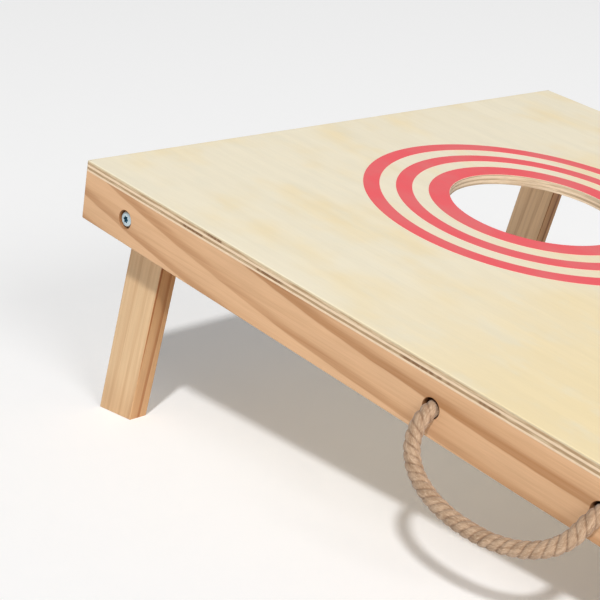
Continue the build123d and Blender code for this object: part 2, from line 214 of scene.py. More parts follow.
def pine(name, origin, along, ring_axis, other_axis, light, dark, ring_width=7.0, pith_distance=260.0,
         pith_angle=19.0, slant=0.02, curve=0.0, wander=0.9, contrast=1.0, side_contrast=1.0, side_painted_shade=None,
         seed=0.0, phase=0.0, drilled=()):
    """Sawn pine: yearly rings round a far-off pith, with fibres along the grain.

    Distances are in millimetres from origin. The pith lies behind the origin, at pith_angle from
    ring_axis. slant is how much farther it is for each millimetre along the grain, and curve is how much
    slant grows for each millimetre. side_contrast is the rings' contrast on the faces square to
    other_axis. The tint given for the side faces is painted shade: it darkens those faces, most of all
    near the start under the rail, and darkens the other faces only near the foot. drilled lists the holes
    along ring_axis as (other, length, radius); their walls are darkened with painted shade."""
    tree = Tree(name)
    place = tree.local(origin, ring_axis, other_axis, along)
    split = tree.add("SeparateXYZ", {0: place})
    a, b, length = split.outputs
    seeded = tree.vector("ADD", place, (seed * 31.7, seed * 17.3, seed * 57.1))

    drift = tree.math("SUBTRACT", tree.noise(tree.stretch(seeded, (1 / 60, 1 / 60, 1 / 170)), 1, 2, 0.5), 0.5)
    ripple = tree.math("SUBTRACT", tree.noise(tree.stretch(seeded, (1 / 9, 1 / 9, 1 / 34)), 1, 2, 0.5), 0.5)
    angle = math.radians(pith_angle)
    away_a, away_b = -math.cos(angle), math.sin(angle)
    slope = tree.math("MULTIPLY_ADD", length, curve, slant)
    distance = tree.math("MULTIPLY_ADD", length, slope, pith_distance)
    from_a = tree.math("SUBTRACT", a, tree.math("MULTIPLY", distance, away_a))
    from_b = tree.math("SUBTRACT", b, tree.math("MULTIPLY", distance, away_b))
    radius = tree.vector("LENGTH", tree.combine(from_a, from_b, 0.0))
    radius = tree.math("MULTIPLY_ADD", drift, wander * 2, radius)
    radius = tree.math("MULTIPLY_ADD", ripple, 0.7, radius)
    years = tree.math("ADD", tree.math("DIVIDE", radius, ring_width), phase)
    year = tree.math("FLOOR", years)
    season = tree.math("SUBTRACT", years, year)

    late_wood = tree.ramp(season, [(0.0, 0.25), (0.025, 0.0), (0.3, 0.05), (0.5, 0.22), (0.66, 0.34), (0.78, 0.88),
                                   (0.88, 1.0), (0.975, 0.95), (1.0, 0.25)])
    year_noise = tree.add("TexWhiteNoise", {"W": tree.math("ADD", year, seed * 13.0 + 0.5)},
                          noise_dimensions="1D").outputs[0]
    strength = tree.level(year_noise, 0.0, 1.0, 0.7, 1.0, smooth=False)
    fade = tree.level(tree.noise(tree.stretch(seeded, (1 / 30, 1 / 30, 1 / 240)), 1, 1, 0.5), 0.3, 0.6, 0.6, 1.0)
    on_side = tree.level(tree.facing(other_axis), 0.3, 0.8)
    contrast = tree.level(on_side, 0.0, 1.0, contrast, side_contrast, smooth=False)
    band = tree.math("MULTIPLY", late_wood, tree.math("MULTIPLY", strength, tree.math("MULTIPLY", fade, contrast)))

    fibre = tree.noise(tree.stretch(seeded, (1.3, 1.3, 1 / 30)), 1, 3, 0.6)
    streak = tree.noise(tree.stretch(seeded, (1 / 2.4, 1 / 2.4, 1 / 150)), 1, 3, 0.55)
    cloud = tree.noise(tree.stretch(seeded, (1 / 34, 1 / 34, 1 / 120)), 1, 3, 0.55)
    pores = tree.level(tree.noise(tree.stretch(seeded, (2.2, 2.2, 1 / 10)), 1, 2, 0.5), 0.66, 0.78)

    band = tree.math("ADD", band, tree.level(streak, 0.35, 0.75, -0.08, 0.16), clamp=True)
    colour = tree.mix(band, light, dark)
    tone = tree.level(fibre, 0.25, 0.75, 0.955, 1.04)
    tone = tree.math("MULTIPLY", tone, tree.level(cloud, 0.3, 0.7, 0.95, 1.04))
    tone = tree.math("MULTIPLY", tone, tree.level(pores, 0.0, 1.0, 1.0, 0.9, smooth=False))
    colour = tree.brightness(colour, tone)
    # Painted shade: the faces square to other_axis darken most near the start, under the rail; the other faces darken
    # only near the foot.
    if side_painted_shade is not None:
        side_share = tree.level(length, *SIDE_SHADE_REACH, 1.0, SIDE_SHADE_END)
        face_share = tree.level(length, *FOOT_SHADE_REACH, 0.0, FOOT_SHADE)
        share = tree.level(on_side, 0.0, 1.0, face_share, side_share, smooth=False)
        colour = tree.mix(share, colour, tree.vector("MULTIPLY", colour, side_painted_shade))
    end_grain = tree.level(tree.facing(along), 0.6, 0.9)
    colour = tree.mix(tree.math("MULTIPLY", end_grain, 0.5), colour, tuple(0.72 * value for value in dark))
    # Painted shade inside the drilled holes: their walls turn dark brown.
    for other, lengthwise, radius in drilled:
        offset = tree.combine(tree.math("SUBTRACT", b, other), tree.math("SUBTRACT", length, lengthwise), 0.0)
        wall_shade = tree.level(tree.vector("LENGTH", offset), radius + 0.1, radius + 0.4, 0.7, 0.0)
        colour = tree.mix(wall_shade, colour, HOLE_WALL_SHADE)

    relief = tree.math("MULTIPLY_ADD", band, 0.5, tree.math("MULTIPLY", fibre, 0.6))
    relief = tree.math("SUBTRACT", relief, tree.math("MULTIPLY", pores, 0.5))
    rough = tree.level(tree.math("ADD", fibre, band), 0.3, 1.6, 0.62, 0.48)
    return tree.finish(Base_Color=colour, Roughness=rough, Normal=tree.bump(relief, 0.08 * MM, 0.6),
                       Specular_IOR_Level=0.35)


RAIL_LIGHT = linear(218, 175, 134)
RAIL_DARK = linear(176, 126, 82)
# Painted shade: the walls inside the drilled holes are coloured dark brown.
HOLE_WALL_SHADE = linear(142, 91, 50)
LEG_LIGHT = linear(222, 188, 146)
# Painted light: the far leg is the same pine as the near one, coloured lighter to brighten it in the shade under the
# deck.
FAR_LEG_PAINTED_LIGHT = linear(252, 218, 179)
LEG_DARK = linear(180, 126, 78)
# Painted shade for the legs: a tint multiplied into the narrow faces near the rail, fading over SIDE_SHADE_REACH to
# SIDE_SHADE_END, and into the other faces near the foot.
LEG_PAINTED_SHADE_TINT = (0.64, 0.45, 0.30)
SIDE_SHADE_REACH = (20.0, 130.0)
SIDE_SHADE_END = 0.62
FOOT_SHADE_REACH = (150.0, 195.0)
FOOT_SHADE = 0.26


def rail_material(node, light=RAIL_LIGHT, dark=RAIL_DARK, seed=0.0, **rings):
    """Pine for one rail, with its grain along the rail."""
    low, high = (Vector(corner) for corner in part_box(node))
    lengthwise, crosswise = (ALONG, ACROSS) if "left" in node or "right" in node else (ACROSS, ALONG)
    origin = (low + high) / 2
    return pine(node + "_pine", origin, lengthwise, crosswise, NORMAL, light, dark, seed=seed, **rings)


def side_holes(side):
    """The pivot and rope holes of one side rail, for pine: (normal, along, radius) from the rail's middle."""
    low, high = (Vector(corner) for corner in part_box(side + "_rail"))
    middle = (low + high) / 2
    pivot = Vector(joints[side + "_leg_fold"]["pos_m"]) - middle
    head = span(side + "_pivot_bolt", ALONG)
    along_low, along_high = span(side + "_rope_loop", ALONG)
    rope_gap = (along_high - along_low) / 2 - ROPE_RADIUS
    holes = [(pivot.dot(NORMAL), pivot.dot(ALONG), (head[1] - head[0]) / 2 + COUNTERBORE_GAP)]
    for end in (-1, 1):
        holes.append((ROPE_HOLE_NORMAL - middle.dot(NORMAL), DECK_MIDDLE + end * rope_gap - middle.dot(ALONG),
                      ROPE_HOLE_RADIUS))
    return [tuple(value / MM for value in hole) for hole in holes]


def leg_direction():
    """The direction down a leg, from its pivot to the middle of its foot."""
    pivot = Vector(joints["left_leg_fold"]["pos_m"])
    foot = Vector(mounts["left_foot"]["pos_m"])
    return (foot - pivot).normalized()


def leg_material(side, light, seed, phase):
    """Pine for one leg, with its grain down the leg."""
    down = leg_direction()
    over = ACROSS.cross(down)
    origin = Vector(joints[side + "_leg_fold"]["pos_m"])
    # The leg's side tint is painted shade under the rail.
    return pine(side + "_leg_pine", origin, down, ACROSS, over, light, LEG_DARK, ring_width=8.5,
                pith_distance=150.0, pith_angle=36.0, slant=0.018, wander=1.8, contrast=0.38, side_contrast=1.2,
                side_painted_shade=LEG_PAINTED_SHADE_TINT, seed=seed, phase=phase)


# Plywood

PLY_SHARES = (0.15, 0.24, 0.19, 0.24, 0.18)
EDGE_STEP = 1.8 * MM
TOP_ROUNDING = 1.2 * MM
RIM_ROUNDING = 0.35 * MM
GLUE_GROOVE = 0.12 * MM
SUPPORT_INSET = 1.2 * MM
CORNER_RADIUS = 1.5 * MM
VOID_DEPTH = 0.7 * MM
VOID_CHANCE = {1: 0.010, 3: 0.016}


def rounded_rectangle():
    """The deck's outline, as (across, along) points round it and the outward direction at each."""
    points, outward = [], []
    corners = [(DECK_RIGHT, DECK_FRONT, -90), (DECK_RIGHT, DECK_BACK, 0), (DECK_LEFT, DECK_BACK, 90),
               (DECK_LEFT, DECK_FRONT, 180)]
    arcs = []
    for x, y, start in corners:
        centre_x = x - math.copysign(CORNER_RADIUS, x - (DECK_LEFT + DECK_RIGHT) / 2)
        centre_y = y - math.copysign(CORNER_RADIUS, y - DECK_MIDDLE)
        arc = []
        for index in range(5):
            angle = math.radians(start + 90 * index / 4)
            direction = (math.cos(angle), math.sin(angle))
            arc.append((centre_x + CORNER_RADIUS * direction[0], centre_y + CORNER_RADIUS * direction[1], direction))
        arcs.append(arc)
    for index, arc in enumerate(arcs):
        for x, y, direction in arc:
            points.append((x, y))
            outward.append(direction)
        x0, y0, direction = arc[-1]
        x1, y1, _ = arcs[(index + 1) % 4][0]
        steps = round(math.dist((x0, y0), (x1, y1)) / EDGE_STEP)
        for step in range(1, steps):
            share = step / steps
            points.append((x0 + (x1 - x0) * share, y0 + (y1 - y0) * share))
            outward.append(direction)
    return np.array(points), np.array(outward)


def hole_circle():
    """The bag hole's edge, as points round it and the direction out of the wood, into the hole."""
    steps = round(2 * math.pi * HOLE_RADIUS / EDGE_STEP)
    angles = np.linspace(0, 2 * math.pi, steps, endpoint=False)
    direction = np.stack([np.cos(angles), np.sin(angles)], axis=1)
    return np.array([0.0, HOLE_ALONG]) + direction * HOLE_RADIUS, -direction


def void_depths(straight, random, chance, deepest):
    """How far the edge of a core ply is chipped back at each point round it: mostly not at all.

    straight tells which points may be chipped."""
    count = len(straight)
    depths = np.zeros(count)
    for start in np.flatnonzero(random.random(count) < chance):
        length = int(random.integers(5, 20))
        shape = np.sin(np.linspace(0, math.pi, length + 2)) ** 0.5 * random.uniform(0.3, 1.0, length + 2)
        places = np.arange(start, start + length + 2) % count
        if straight[places].all():
            depths[places] = np.maximum(depths[places], shape * deepest * random.uniform(0.5, 1.0))
    return depths


def ply_profile(index, rounding):
    """The edge of one ply as (height, inset) pairs from its lower face to its upper face."""
    low, high = (DECK_TOP - (DECK_TOP - DECK_BOTTOM) * sum(PLY_SHARES[:count]) for count in (index + 1, index))
    thickness = high - low
    groove = [(low, GLUE_GROOVE), (low + GLUE_GROOVE, 0.02 * MM), (low + 0.35 * thickness, 0.0)]
    if index > 0:
        return groove + [(low + 0.65 * thickness, 0.0), (high - GLUE_GROOVE, 0.02 * MM), (high, GLUE_GROOVE)]
    arc = []
    for step in range(7):
        angle = math.radians(90 * step / 6)
        arc.append((high - rounding * (1 - math.sin(angle)), rounding * (1 - math.cos(angle))))
    return groove[:2] + arc


def deck_ply(index, random):
    """One veneer of the plywood: a thin sheet with the bag hole, and a softly uneven edge."""
    outlines = []
    void_shares = []
    for points, outward in (rounded_rectangle(), hole_circle()):
        hole = len(outlines) == 1
        profile = ply_profile(index, RIM_ROUNDING if hole else TOP_ROUNDING)
        waver = np.convolve(np.tile(random.normal(0, 0.03 * MM, len(points)), 3), np.ones(5) / 5, "same")
        waver = np.abs(waver[len(points):2 * len(points)])
        straight = np.full(len(points), True) if hole else np.abs(outward).max(axis=1) > 0.999
        chance = VOID_CHANCE.get(index, 0.0) * (0.2 if hole else 1.0)
        voids = void_depths(straight, random, chance, VOID_DEPTH)
        low, high = profile[0][0], profile[-1][0]
        rings = []
        for height, inset in profile:
            middle = 1 - abs(2 * (height - low) / (high - low) - 1)
            push = inset + waver + voids * min(1.0, 3 * middle)
            rings.append((height, points - outward * push[:, None]))
        last_inset = profile[-1][1] + SUPPORT_INSET
        rings.append((high, points - outward * last_inset))
        rings.insert(0, (low, points - outward * (profile[0][1] + SUPPORT_INSET)))
        outlines.append(rings)
        void_shares.append(np.tile(voids / VOID_DEPTH, len(rings)))

    vertices, faces = [], []
    caps = {0: [], -1: []}
    for order, rings in enumerate(outlines):
        count = len(rings[0][1])
        start = len(vertices)
        for height, ring in rings:
            vertices.extend(board_point(x, y, height) for x, y in ring)
        for level in range(len(rings) - 1):
            for step in range(count):
                a = start + level * count + step
                b = start + level * count + (step + 1) % count
                face = (a, b, b + count, a + count)
                faces.append(face if order == 0 else face[::-1])
        caps[0].append(range(start, start + count))
        caps[-1].append(range(start + (len(rings) - 1) * count, start + len(rings) * count))
    for side, loops in caps.items():
        flat = [[Vector((vertices[v].dot(ACROSS), vertices[v].dot(ALONG), 0)) for v in loop] for loop in loops]
        numbers = [v for loop in loops for v in loop]
        for triangle in tessellate_polygon(flat):
            a, b, c = (numbers[corner] for corner in triangle)
            upward = (vertices[b] - vertices[a]).cross(vertices[c] - vertices[a]).dot(NORMAL) > 0
            faces.append((a, b, c) if upward == (side == -1) else (a, c, b))
    ply = solid("deck_ply_%d" % (index + 1), vertices, faces)
    layer = ply.data.attributes.new("void", "FLOAT", "POINT")
    layer.data.foreach_set("value", np.concatenate(void_shares).astype(np.float32))
    return ply


def solid(name, vertices, faces, smooth_angle=35.0):
    """A mesh object from vertices and faces, smooth except at edges sharper than an angle."""
    mesh = bpy.data.meshes.new(name)
    mesh.from_pydata([tuple(v) for v in vertices], [], faces)
    mesh.polygons.foreach_set("use_smooth", [True] * len(mesh.polygons))
    mesh.set_sharp_from_angle(angle=math.radians(smooth_angle))
    mesh.validate()
    mesh.update()
    obj = bpy.data.objects.new(name, mesh)
    bpy.context.scene.collection.objects.link(obj)
    return obj


DECK_CREAM = linear(242, 232, 207)
DECK_WARM = linear(243, 223, 178)
DECK_COOL = linear(237, 229, 206)
# Painted shade: the top ply's rounded edge is darker and greyer than the other plies' edges.
PLY_TOP_EDGE_SHADE = linear(206, 190, 158)
PLY_SIDE = linear(236, 211, 180)
PLY_END_PALE = linear(216, 192, 158)
PLY_END_DARK = linear(178, 147, 111)
# Painted shade inside the core voids: the chipped-back notches are coloured dark brown.
PLY_VOID_SHADE = linear(136, 102, 70)
HOLE_EDGE = linear(250, 230, 206)


def ply_material(index):
    """Birch veneer. Its grain runs along the board in the outer plies, and turns with each ply.

    Its face is cream with faint clouds, and its edge is pale along the grain and dark across it. The top
    ply's rounded edge is darker with painted shade, and the core voids are painted dark as shade."""
    tree = Tree("birch_ply_%d" % (index + 1))
    grain, cross = (ALONG, ACROSS) if index % 2 == 0 else (ACROSS, ALONG)
    place = tree.local(HOLE_CENTRE, cross, NORMAL, grain)
    seeded = tree.vector("ADD", place, (index * 41.0, index * 23.0, index * 67.0))

    cloud = tree.noise(tree.stretch(seeded, (1 / 70, 1 / 70, 1 / 95)), 1, 3, 0.55)
    blotch = tree.noise(tree.stretch(seeded, (1 / 24, 1 / 24, 1 / 46)), 1, 3, 0.6)
    figure = tree.noise(tree.stretch(seeded, (1 / 9, 1 / 9, 1 / 120)), 1, 4, 0.6)
    fibre = tree.noise(tree.stretch(seeded, (1.6, 1.6, 1 / 18)), 1, 3, 0.6)
    flecks = tree.level(tree.noise(tree.stretch(seeded, (1.9, 1.9, 1 / 5)), 1, 1, 0.5), 0.70, 0.80)

    towards_front = tree.level(tree.add("SeparateXYZ", {0: place}).outputs[2], 0.0, -240.0, 0.0, 0.9)
    face = tree.mix(towards_front, DECK_CREAM, DECK_WARM)
    face = tree.mix(tree.level(cloud, 0.43, 0.73, 0.0, 0.7), face, DECK_WARM)
    face = tree.mix(tree.level(blotch, 0.48, 0.74, 0.0, 0.5), face, DECK_COOL)
    tone = tree.level(figure, 0.3, 0.7, 0.975, 1.015)
    tone = tree.math("MULTIPLY", tone, tree.level(fibre, 0.3, 0.7, 0.985, 1.01))
    tone = tree.math("MULTIPLY", tone, tree.level(flecks, 0.0, 1.0, 1.0, 0.94, smooth=False))
    face = tree.brightness(face, tone)

    end = tree.level(tree.facing(grain), 0.25, 0.85)
    patch = tree.noise(tree.stretch(seeded, (1 / 26, 1 / 2, 1 / 26)), 1, 3, 0.6)
    patch = tree.level(patch, 0.36, 0.62) if index == 1 else tree.level(patch, 0.3, 0.52)
    # The top ply's edge takes a painted shade colour.
    edge = tree.mix(end, PLY_TOP_EDGE_SHADE if index == 0 else PLY_SIDE, tree.mix(patch, PLY_END_PALE, PLY_END_DARK))
    from_hole = tree.vector("LENGTH", tree.stretch(place, (1.0, 0.0, 1.0)))
    cut = tree.level(from_hole, HOLE_RADIUS / MM + 3, HOLE_RADIUS / MM + 5, 0.2, 0.0)
    edge = tree.mix(cut, edge, HOLE_EDGE)
    edge_streak = tree.noise(tree.stretch(seeded, (1 / 7, 3.0, 1 / 7)), 1, 3, 0.6)
    edge = tree.brightness(edge, tree.level(edge_streak, 0.3, 0.7, 0.86, 1.06))
    # Painted shade: the chipped-back voids turn dark brown.
    void = tree.add("Attribute", attribute_name="void").outputs["Fac"]
    edge = tree.mix(tree.level(void, 0.05, 0.5), edge, PLY_VOID_SHADE)
    on_edge = tree.math("SUBTRACT", 1.0, tree.level(tree.facing(NORMAL), 0.5, 0.98))
    colour = tree.mix(on_edge, face, edge)

    relief = tree.math("MULTIPLY_ADD", fibre, 0.5, tree.math("MULTIPLY", flecks, -0.4))
    rough = tree.level(fibre, 0.3, 0.7, 0.44, 0.52)
    return tree.finish(Base_Color=colour, Roughness=rough, Normal=tree.bump(relief, 0.03 * MM, 0.5),
                       Specular_IOR_Level=0.35)


def ink_material():
    """Matte red ink with a little of the wood's cloudiness showing through."""
    tree = Tree("ring_ink")
    place = tree.local(HOLE_CENTRE, ACROSS, NORMAL, ALONG)
    cloud = tree.noise(tree.stretch(place, (1 / 35, 1 / 35, 1 / 50)), 1, 3, 0.55)
    fibre = tree.noise(tree.stretch(place, (1.6, 1.6, 1 / 18)), 1, 3, 0.6)
    colour = tree.mix(tree.level(cloud, 0.35, 0.68), linear(240, 98, 104), linear(233, 112, 114))
    colour = tree.brightness(colour, tree.level(fibre, 0.3, 0.7, 0.975, 1.02))
    return tree.finish(Base_Color=colour, Roughness=tree.level(fibre, 0.3, 0.7, 0.5, 0.58),
                       Normal=tree.bump(fibre, 0.02 * MM, 0.4), Specular_IOR_Level=0.3)


# Metal, nylon and dowels

SOCKET_REACH = 3.2
SOCKET_DEPTH = 2.4


def zinc_material(name="zinc", tint=(0.80, 0.86, 0.89), dark=(0.55, 0.64, 0.70)):
    """Bright zinc plating, faintly blue, with fine random scuffs."""
    tree = Tree(name)
    place = tree.vector("MULTIPLY", tree.add("TexCoord").outputs["Object"], (1 / MM,) * 3)
    cloud = tree.noise(place, 0.35, 3, 0.6)
    grain = tree.noise(place, 5.0, 2, 0.6)
    colour = tree.mix(tree.level(cloud, 0.35, 0.7), tint, dark)
    rough = tree.level(grain, 0.3, 0.7, 0.26, 0.40)
    return tree.finish(Base_Color=colour, Metallic=1.0, Roughness=rough, Normal=tree.bump(grain, 0.01 * MM, 0.4))


def bolt_material(side):
    """Bright zinc for a pivot bolt, with painted shade down in its socket: darker and bluer there."""
    sign = -1 if side == "left" else 1
    head_face = span(side + "_pivot_bolt", ACROSS)[0 if side == "left" else 1]
    axis = Vector(joints[side + "_leg_fold"]["pos_m"])
    origin = Vector((head_face, axis.y, axis.z))
    tree = Tree(side + "_bolt_zinc")
    place = tree.local(origin, ACROSS * -sign, ALONG, NORMAL)
    deep, y, z = tree.add("SeparateXYZ", {0: place}).outputs
    from_axis = tree.vector("LENGTH", tree.combine(y, z, 0.0))
    # Painted shade: the socket's walls and floor turn dark blue.
    inside = tree.level(from_axis, SOCKET_REACH, SOCKET_REACH + 0.2, 1.0, 0.0)
    inside = tree.math("MULTIPLY", inside, tree.level(deep, 0.15, 0.6))
    inside = tree.math("MULTIPLY", inside, tree.level(deep, SOCKET_DEPTH + 0.2, SOCKET_DEPTH + 0.6, 1.0, 0.0))
    cloud = tree.noise(place, 0.35, 3, 0.6)
    grain = tree.noise(place, 5.0, 2, 0.6)
    colour = tree.mix(tree.level(cloud, 0.35, 0.7), (0.70, 0.82, 0.86), (0.58, 0.71, 0.77))
    colour = tree.mix(inside, colour, (0.13, 0.27, 0.34))
    rough = tree.level(grain, 0.3, 0.7, 0.42, 0.55)
    return tree.finish(Base_Color=colour, Metallic=1.0, Roughness=rough, Normal=tree.bump(grain, 0.01 * MM, 0.4))


def yellow_zinc_material():
    """Yellow passivated zinc for the wood screws."""
    return zinc_material("yellow_zinc", (0.82, 0.70, 0.42), (0.68, 0.60, 0.46))


def nylon_material():
    """Milky nylon with a fine moulded texture."""
    tree = Tree("nylon")
    place = tree.vector("MULTIPLY", tree.add("TexCoord").outputs["Object"], (1 / MM,) * 3)
    grain = tree.noise(place, 2.5, 3, 0.6)
    colour = tree.mix(tree.level(grain, 0.3, 0.7), linear(236, 234, 224), linear(225, 222, 209))
    return tree.finish(Base_Color=colour, Roughness=0.42, Normal=tree.bump(grain, 0.02 * MM, 0.5),
                       Subsurface_Weight=0.1, Subsurface_Radius=(0.001, 0.001, 0.001))


def dowel_material():
    """Beech with short dark flecks."""
    tree = Tree("beech")
    place = tree.local(HOLE_CENTRE, NORMAL, ALONG, ACROSS)
    fleck = tree.noise(tree.stretch(place, (1.5, 1.5, 1 / 4)), 1, 2, 0.5)
    colour = tree.mix(tree.level(fleck, 0.55, 0.72), linear(220, 190, 154), linear(178, 134, 94))
    return tree.finish(Base_Color=colour, Roughness=0.6, Normal=tree.bump(fleck, 0.05 * MM, 0.5))


# Rope

STRAND_COUNT = 3
GROOVE_DEPTH = 0.17
ROPE_LAY = 20.5 * MM
LOOP_SHARE = 0.945
LOOP_SQUARENESS = 0.8
LOOP_LIFT = math.radians(2)
LOOP_PINCH = 1.3 * MM
MOUTH_DROP = 0.9 * MM
YARN_LEAN = 0.85
ROPE_STEP = 0.8 * MM
ROPE_SIDES = 60
KNOT_RADIUS = 9.6 * MM
KNOT_TUBE = 5.2 * MM
TAIL_LENGTH = 14 * MM
END_DOME = ((0.92, 0.5 * MM), (0.6, 1.0 * MM), (0.2, 1.3 * MM), (0.03, 0.9 * MM))
FIBRE_COUNT = 900
FIBRE_RADIUS = 0.09 * MM


def rope_path(side):
    """The middle line of one rope.

    It runs from its tail, through a stopper knot and the front hole, round the loop, and back in."""
    along_low, along_high = span("left_rope_loop", ALONG)
    half = (along_high - along_low) / 2 - ROPE_RADIUS
    reach_out = DECK_LEFT - HINGE_OUT - span("left_rope_loop", ACROSS)[0] - ROPE_RADIUS
    reach_down = ROPE_HOLE_NORMAL - span("left_rope_loop", NORMAL)[0] - ROPE_RADIUS
    reach = math.hypot(reach_out, reach_down)
    droop = math.atan2(reach_down, reach_out) - LOOP_LIFT
    turns = np.linspace(0, math.pi / 2, 40)
    away = LOOP_SHARE * reach * np.sin(turns) ** LOOP_SQUARENESS
    droops = droop + math.radians(1) * (np.sin(turns) - 1)
    out = HINGE_OUT + away * np.cos(droops)
    down = away * np.sin(droops) + MOUTH_DROP * np.cos(turns)
    loop = np.stack([out, (half - LOOP_PINCH) * np.cos(turns), ROPE_HOLE_NORMAL - down], axis=1)
    mouth = np.array([0.6 * MM, half, ROPE_HOLE_NORMAL - MOUTH_DROP])
    inside = np.array([-RAIL_THICKNESS, half, ROPE_HOLE_NORMAL])
    knot = knot_path(inside + np.array([-2 * MM, 0, 0]))
    half_line = np.vstack([knot, [inside, inside * 0.5 + mouth * 0.5, mouth], loop[2:]])
    mirrored = half_line[::-1] * np.array([1, -1, 1])
    line = even_steps(np.vstack([half_line, mirrored[1:]]), ROPE_STEP * 2)
    line = even_steps(smoothed(line, 5), ROPE_STEP)
    return [board_point(side * (DECK_RIGHT + out), DECK_MIDDLE + y, z) for out, y, z in line]


def knot_path(start):
    """An overhand knot tied inwards from start, beginning with its tail, as a rope's middle line."""
    turns = np.linspace(math.radians(262), math.radians(8), 90)
    ring = KNOT_RADIUS + KNOT_TUBE * np.cos(3 * turns)
    x = ring * np.cos(2 * turns)
    y = ring * np.sin(2 * turns)
    z = KNOT_TUBE * np.sin(3 * turns)
    centre = start - np.array([KNOT_RADIUS + KNOT_TUBE + ROPE_RADIUS, 0, 0])
    knot = centre + np.stack([x, y, z], axis=1)
    tail = knot[0] + np.array([[-TAIL_LENGTH, 4 * MM, -3 * MM], [-TAIL_LENGTH / 2, 2 * MM, -1 * MM]])
    return np.vstack([tail, knot])


def even_steps(line, step):
    """The line again, with its points the same distance apart."""
    lengths = np.r_[0, np.cumsum(np.linalg.norm(np.diff(line, axis=0), axis=1))]
    places = np.linspace(0, lengths[-1], round(lengths[-1] / step) + 1)
    return np.stack([np.interp(places, lengths, line[:, axis]) for axis in range(3)], axis=1)


def smoothed(line, rounds):
    """The line with each point eased towards its neighbours."""
    for _ in range(rounds):
        line[1:-1] = line[1:-1] * 0.5 + (line[:-2] + line[2:]) * 0.25
    return line


def carried_frames(path):
    """At each point of a path, two directions square to it that turn no more than they must."""
    points = np.array([tuple(p) for p in path])
    tangents = np.gradient(points, axis=0)
    tangents /= np.linalg.norm(tangents, axis=1)[:, None]
    sideways = np.empty_like(points)
    helper = np.array([0.0, 0.0, 1.0])
    for index, tangent in enumerate(tangents):
        helper = helper - tangent * (helper @ tangent)
        helper /= np.linalg.norm(helper)
        sideways[index] = helper
    return points, sideways, np.cross(tangents, sideways)


def lobed(angles):
    """How far a rope of soft strands reaches at each angle, as a share of its radius."""
    return 1 - GROOVE_DEPTH * (1 - np.abs(np.cos(angles * STRAND_COUNT / 2)) ** 0.7)


def strand_swell(count, random):
    """Small random swellings of the strands: one row for each point along, one value for each point round."""
    swell = random.normal(0, 1, (count, ROPE_SIDES))
    for shift in (1, 2):
        swell = (swell + np.roll(swell, shift, axis=1) + np.roll(swell, -shift, axis=1)) / 3
    for shift in (1, 2):
        swell = (swell + np.roll(swell, shift, axis=0) + np.roll(swell, -shift, axis=0)) / 3
    return swell * 0.07


def rope(side, name, random):
    """One three-strand rope with loose fibres, and a UV map along it (in metres) and round it."""
    points, u_axis, v_axis = carried_frames(rope_path(side))
    lengths = np.r_[0, np.cumsum(np.linalg.norm(np.diff(points, axis=0), axis=1))]
    around = np.linspace(0, 2 * math.pi, ROPE_SIDES, endpoint=False)
    uneven = np.convolve(random.normal(0, 0.10, len(points) + 24), np.ones(25) / 25, "valid")
    turns = -2 * math.pi * lengths / ROPE_LAY + uneven * 5
    vertices, faces, uvs = [], [], []
    swell = strand_swell(len(points), random)
    for index, point in enumerate(points):
        lobes = ROPE_RADIUS * (1 + uneven[index] * 0.6 + swell[index]) * lobed(around)
        angles = around + turns[index]
        ring = point + (np.cos(angles) * lobes)[:, None] * u_axis[index]
        vertices.extend(ring + (np.sin(angles) * lobes)[:, None] * v_axis[index])
    for index in range(len(points) - 1):
        low, high = lengths[index], lengths[index + 1]
        for step in range(ROPE_SIDES):
            a = index * ROPE_SIDES + step
            b = index * ROPE_SIDES + (step + 1) % ROPE_SIDES
            faces.append((a, b, b + ROPE_SIDES, a + ROPE_SIDES))
            left, right = step / ROPE_SIDES, (step + 1) / ROPE_SIDES
            uvs.extend([(low, left), (low, right), (high, right), (high, left)])
    cap_end(vertices, faces, uvs, 0, points[0] - points[1], lengths[0])
    cap_end(vertices, faces, uvs, (len(points) - 1) * ROPE_SIDES, points[-1] - points[-2], lengths[-1])
    for place in random.uniform(0, len(points) - 14, FIBRE_COUNT):
        index = int(place)
        add_fibre(vertices, faces, uvs, points[index:index + 12], u_axis[index], v_axis[index], lengths[index], random)
    obj = solid(name, vertices, faces, smooth_angle=60)
    layer = obj.data.uv_layers.new(name="rope")
    layer.data.foreach_set("uv", np.array(uvs, dtype=np.float32).ravel())
    return obj


def cap_end(vertices, faces, uvs, first, outward, length):
    """Closes one end of a rope, whose last ring starts at vertex first, with a low frayed dome."""
    rim = np.array(vertices[first:first + ROPE_SIDES])
    centre = rim.mean(axis=0)
    outward = outward / np.linalg.norm(outward)
    leading = first == 0
    for size, rise in END_DOME:
        start = len(vertices)
        vertices.extend(centre + (rim - centre) * size + outward * rise)
        for step in range(ROPE_SIDES):
            following = (step + 1) % ROPE_SIDES
            face = (first + step, first + following, start + following, start + step)
            faces.append(face[::-1] if leading else face)
            left, right = step / ROPE_SIDES, (step + 1) / ROPE_SIDES
            corners = [(length, left), (length, right), (length + rise, right), (length + rise, left)]
            uvs.extend(corners[::-1] if leading else corners)
        first = start
    order = range(first, first + ROPE_SIDES)
    faces.append(order[::-1] if leading else order)
    uvs.extend([(length, 0.5)] * ROPE_SIDES)


